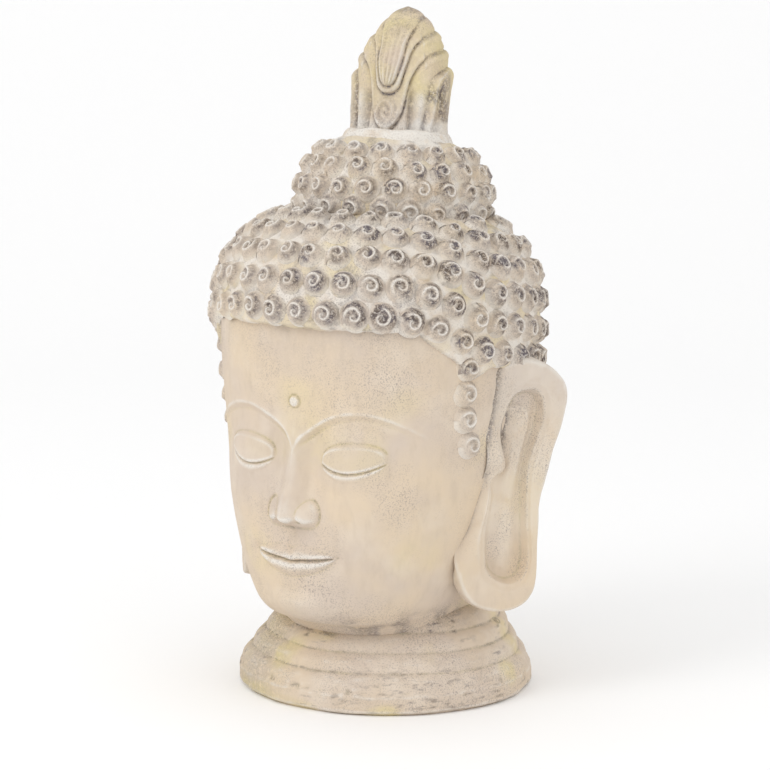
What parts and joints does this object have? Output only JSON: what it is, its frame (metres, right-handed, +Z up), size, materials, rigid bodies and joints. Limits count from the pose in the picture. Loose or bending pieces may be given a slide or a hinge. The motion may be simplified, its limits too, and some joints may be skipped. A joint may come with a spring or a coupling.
{
  "type": "buddha head sculpture",
  "caption": "Standing garden sculpture of a calm head with long ears, snail curls, a crown bun and flame, on a round neck foot.",
  "frame": {"origin": "on the floor, at the middle of the sculpture's box", "axes": "+Z up, the face looks along -Y, the sculpture's left ear is on +X"},
  "size_m": [0.4498, 0.3906, 0.78],
  "materials": {
    "washed_cast_stone": "matt cream mineral cast with a chalky white wash and a grey-brown wash on the curls"
  },
  "bodies": {
    "root": {"buddha_head": "washed_cast_stone"}
  },
  "joints": []
}
